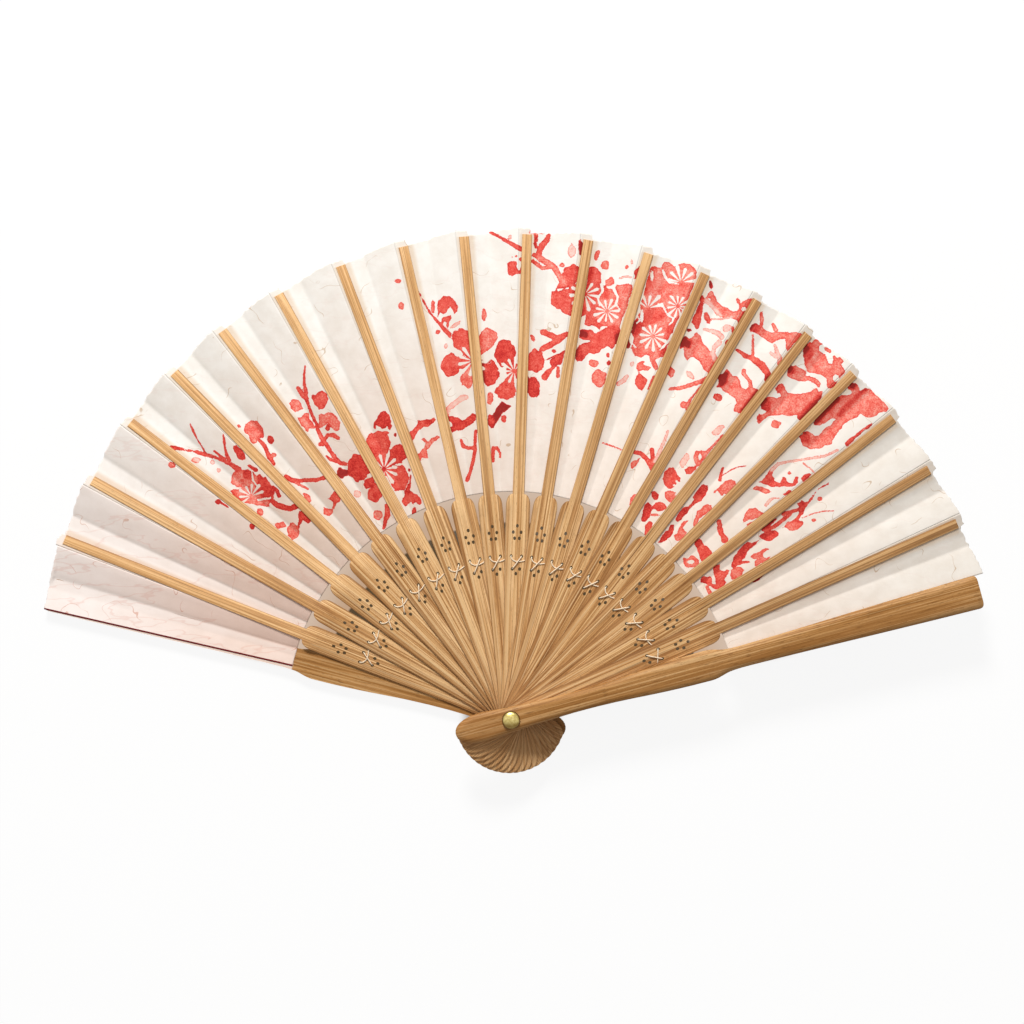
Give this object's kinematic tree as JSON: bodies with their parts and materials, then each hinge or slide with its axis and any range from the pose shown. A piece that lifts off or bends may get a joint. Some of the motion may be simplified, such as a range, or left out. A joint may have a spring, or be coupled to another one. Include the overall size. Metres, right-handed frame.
{
  "type": "folding fan",
  "caption": "Folding hand fan, opened out: bamboo guards and pierced, thread-stitched ribs turn on a brass rivet and carry a pleated paper leaf.",
  "frame": {"origin": "the rivet's axis where it meets the flat outer face of the rivet's rear end, which is the lowest plane of the fan", "axes": "+Z along the rivet from the back guard to the front guard; +X across the opened fan, towards the front guard's tip; +Y from the rivet towards the leaf"},
  "size_m": [0.3618, 0.2088, 0.0224],
  "materials": {
    "rib_bamboo": "split bamboo, satin, with fine lengthwise grain",
    "guard_bamboo": "polished bamboo, satin, honey brown",
    "paper": "thin fibrous paper, matt, with a red plum branch print",
    "brass": "polished brass",
    "cotton": "undyed cotton thread"
  },
  "bodies": {
    "back_guard": {"back_guard": "guard_bamboo", "leaf_pleat_00": "paper", "rivet_pin": "brass", "rivet_rear_cap": "brass"},
    "rib_01": {"rib_01": "rib_bamboo", "leaf_pleat_01": "paper"},
    "rib_02": {"rib_02": "rib_bamboo", "leaf_pleat_02": "paper"},
    "rib_03": {"rib_03": "rib_bamboo", "leaf_pleat_03": "paper"},
    "rib_04": {"rib_04": "rib_bamboo", "leaf_pleat_04": "paper"},
    "rib_05": {"rib_05": "rib_bamboo", "leaf_pleat_05": "paper"},
    "rib_06": {"rib_06": "rib_bamboo", "leaf_pleat_06": "paper"},
    "rib_07": {"rib_07": "rib_bamboo", "leaf_pleat_07": "paper"},
    "rib_08": {"rib_08": "rib_bamboo", "leaf_pleat_08": "paper"},
    "rib_09": {"rib_09": "rib_bamboo", "leaf_pleat_09": "paper"},
    "rib_10": {"rib_10": "rib_bamboo", "leaf_pleat_10": "paper", "stitch_thread": "cotton"},
    "rib_11": {"rib_11": "rib_bamboo", "leaf_pleat_11": "paper"},
    "rib_12": {"rib_12": "rib_bamboo", "leaf_pleat_12": "paper"},
    "rib_13": {"rib_13": "rib_bamboo", "leaf_pleat_13": "paper"},
    "rib_14": {"rib_14": "rib_bamboo", "leaf_pleat_14": "paper"},
    "rib_15": {"rib_15": "rib_bamboo", "leaf_pleat_15": "paper"},
    "rib_16": {"rib_16": "rib_bamboo", "leaf_pleat_16": "paper"},
    "rib_17": {"rib_17": "rib_bamboo", "leaf_pleat_17": "paper"},
    "rib_18": {"rib_18": "rib_bamboo", "leaf_pleat_18": "paper"},
    "rib_19": {"rib_19": "rib_bamboo", "leaf_pleat_19": "paper"},
    "front_guard": {"front_guard": "guard_bamboo", "leaf_end": "paper"}
  },
  "joints": [
    {"name": "fold_01", "type": "hinge", "parent": "back_guard", "child": "rib_01", "pos_m": [0, 0, 0], "axis": [0, 0, 1], "range_deg": [0, 7.75], "deforming": ["leaf_pleat_00", "stitch_thread"]},
    {"name": "fold_02", "type": "hinge", "parent": "rib_01", "child": "rib_02", "pos_m": [0, 0, 0], "axis": [0, 0, 1], "range_deg": [0, 7.8], "deforming": ["leaf_pleat_01"]},
    {"name": "fold_03", "type": "hinge", "parent": "rib_02", "child": "rib_03", "pos_m": [0, 0, 0], "axis": [0, 0, 1], "range_deg": [0, 8.3], "deforming": ["leaf_pleat_02"]},
    {"name": "fold_04", "type": "hinge", "parent": "rib_03", "child": "rib_04", "pos_m": [0, 0, 0], "axis": [0, 0, 1], "range_deg": [0, 7.9], "deforming": ["leaf_pleat_03"]},
    {"name": "fold_05", "type": "hinge", "parent": "rib_04", "child": "rib_05", "pos_m": [0, 0, 0], "axis": [0, 0, 1], "range_deg": [0, 7.6], "deforming": ["leaf_pleat_04"]},
    {"name": "fold_06", "type": "hinge", "parent": "rib_05", "child": "rib_06", "pos_m": [0, 0, 0], "axis": [0, 0, 1], "range_deg": [0, 8], "deforming": ["leaf_pleat_05"]},
    {"name": "fold_07", "type": "hinge", "parent": "rib_06", "child": "rib_07", "pos_m": [0, 0, 0], "axis": [0, 0, 1], "range_deg": [0, 8.1], "deforming": ["leaf_pleat_06"]},
    {"name": "fold_08", "type": "hinge", "parent": "rib_07", "child": "rib_08", "pos_m": [0, 0, 0], "axis": [0, 0, 1], "range_deg": [0, 7.8], "deforming": ["leaf_pleat_07"]},
    {"name": "fold_09", "type": "hinge", "parent": "rib_08", "child": "rib_09", "pos_m": [0, 0, 0], "axis": [0, 0, 1], "range_deg": [0, 7.3], "deforming": ["leaf_pleat_08"]},
    {"name": "fold_10", "type": "hinge", "parent": "rib_09", "child": "rib_10", "pos_m": [0, 0, 0], "axis": [0, 0, 1], "range_deg": [0, 7.5], "deforming": ["leaf_pleat_09"]},
    {"name": "fold_11", "type": "hinge", "parent": "rib_10", "child": "rib_11", "pos_m": [0, 0, 0], "axis": [0, 0, 1], "range_deg": [0, 7.3], "deforming": ["leaf_pleat_10"]},
    {"name": "fold_12", "type": "hinge", "parent": "rib_11", "child": "rib_12", "pos_m": [0, 0, 0], "axis": [0, 0, 1], "range_deg": [0, 7.3], "deforming": ["leaf_pleat_11"]},
    {"name": "fold_13", "type": "hinge", "parent": "rib_12", "child": "rib_13", "pos_m": [0, 0, 0], "axis": [0, 0, 1], "range_deg": [0, 7.1], "deforming": ["leaf_pleat_12"]},
    {"name": "fold_14", "type": "hinge", "parent": "rib_13", "child": "rib_14", "pos_m": [0, 0, 0], "axis": [0, 0, 1], "range_deg": [0, 6.9], "deforming": ["leaf_pleat_13"]},
    {"name": "fold_15", "type": "hinge", "parent": "rib_14", "child": "rib_15", "pos_m": [0, 0, 0], "axis": [0, 0, 1], "range_deg": [0, 7.2], "deforming": ["leaf_pleat_14"]},
    {"name": "fold_16", "type": "hinge", "parent": "rib_15", "child": "rib_16", "pos_m": [0, 0, 0], "axis": [0, 0, 1], "range_deg": [0, 7.1], "deforming": ["leaf_pleat_15"]},
    {"name": "fold_17", "type": "hinge", "parent": "rib_16", "child": "rib_17", "pos_m": [0, 0, 0], "axis": [0, 0, 1], "range_deg": [0, 7], "deforming": ["leaf_pleat_16"]},
    {"name": "fold_18", "type": "hinge", "parent": "rib_17", "child": "rib_18", "pos_m": [0, 0, 0], "axis": [0, 0, 1], "range_deg": [0, 7.4], "deforming": ["leaf_pleat_17"]},
    {"name": "fold_19", "type": "hinge", "parent": "rib_18", "child": "rib_19", "pos_m": [0, 0, 0], "axis": [0, 0, 1], "range_deg": [0, 7.1], "deforming": ["leaf_pleat_18"]},
    {"name": "fold_20", "type": "hinge", "parent": "rib_19", "child": "front_guard", "pos_m": [0, 0, 0], "axis": [0, 0, 1], "range_deg": [0, 7.45], "deforming": ["leaf_pleat_19"]}
  ],
  "couplings": [
    {"joint": "fold_02", "follows": "fold_01", "ratio": 1.0065},
    {"joint": "fold_03", "follows": "fold_01", "ratio": 1.071},
    {"joint": "fold_04", "follows": "fold_01", "ratio": 1.0194},
    {"joint": "fold_05", "follows": "fold_01", "ratio": 0.98064},
    {"joint": "fold_06", "follows": "fold_01", "ratio": 1.0323},
    {"joint": "fold_07", "follows": "fold_01", "ratio": 1.0452},
    {"joint": "fold_08", "follows": "fold_01", "ratio": 1.0065},
    {"joint": "fold_09", "follows": "fold_01", "ratio": 0.94193},
    {"joint": "fold_10", "follows": "fold_01", "ratio": 0.96774},
    {"joint": "fold_11", "follows": "fold_01", "ratio": 0.94193},
    {"joint": "fold_12", "follows": "fold_01", "ratio": 0.94193},
    {"joint": "fold_13", "follows": "fold_01", "ratio": 0.91613},
    {"joint": "fold_14", "follows": "fold_01", "ratio": 0.89032},
    {"joint": "fold_15", "follows": "fold_01", "ratio": 0.92903},
    {"joint": "fold_16", "follows": "fold_01", "ratio": 0.91613},
    {"joint": "fold_17", "follows": "fold_01", "ratio": 0.90322},
    {"joint": "fold_18", "follows": "fold_01", "ratio": 0.95484},
    {"joint": "fold_19", "follows": "fold_01", "ratio": 0.91613},
    {"joint": "fold_20", "follows": "fold_01", "ratio": 0.96129}
  ]
}
